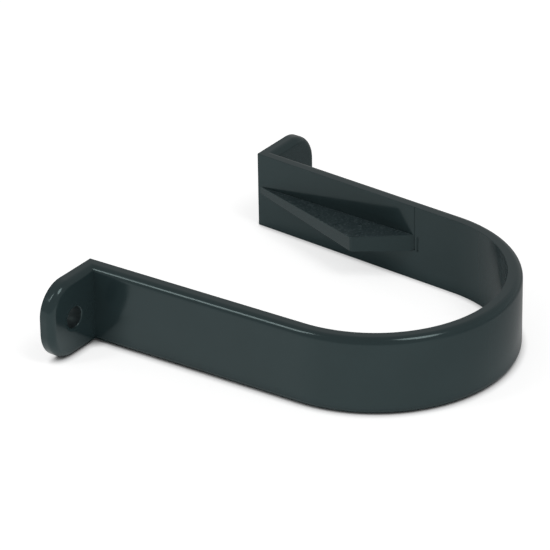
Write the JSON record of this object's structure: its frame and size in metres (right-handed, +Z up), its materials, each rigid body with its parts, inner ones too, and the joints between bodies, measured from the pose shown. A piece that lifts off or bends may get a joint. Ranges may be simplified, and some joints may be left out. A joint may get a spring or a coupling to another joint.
{
  "type": "downpipe clip",
  "caption": "U-shaped moulded plastic strap with screw ears and tapered inner pipe stops, holding a round downpipe off a wall.",
  "frame": {"origin": "midway between the screw holes, at mid-height on the wall plane", "axes": "+Z up along the pipe, +Y into the wall, +X along the wall; the strap reaches to -Y"},
  "size_m": [0.118, 0.1037, 0.022],
  "materials": {
    "moulded_plastic": "glossy moulded plastic, anthracite grey"
  },
  "bodies": {
    "root": {"downpipe_clip": "moulded_plastic"}
  },
  "joints": []
}
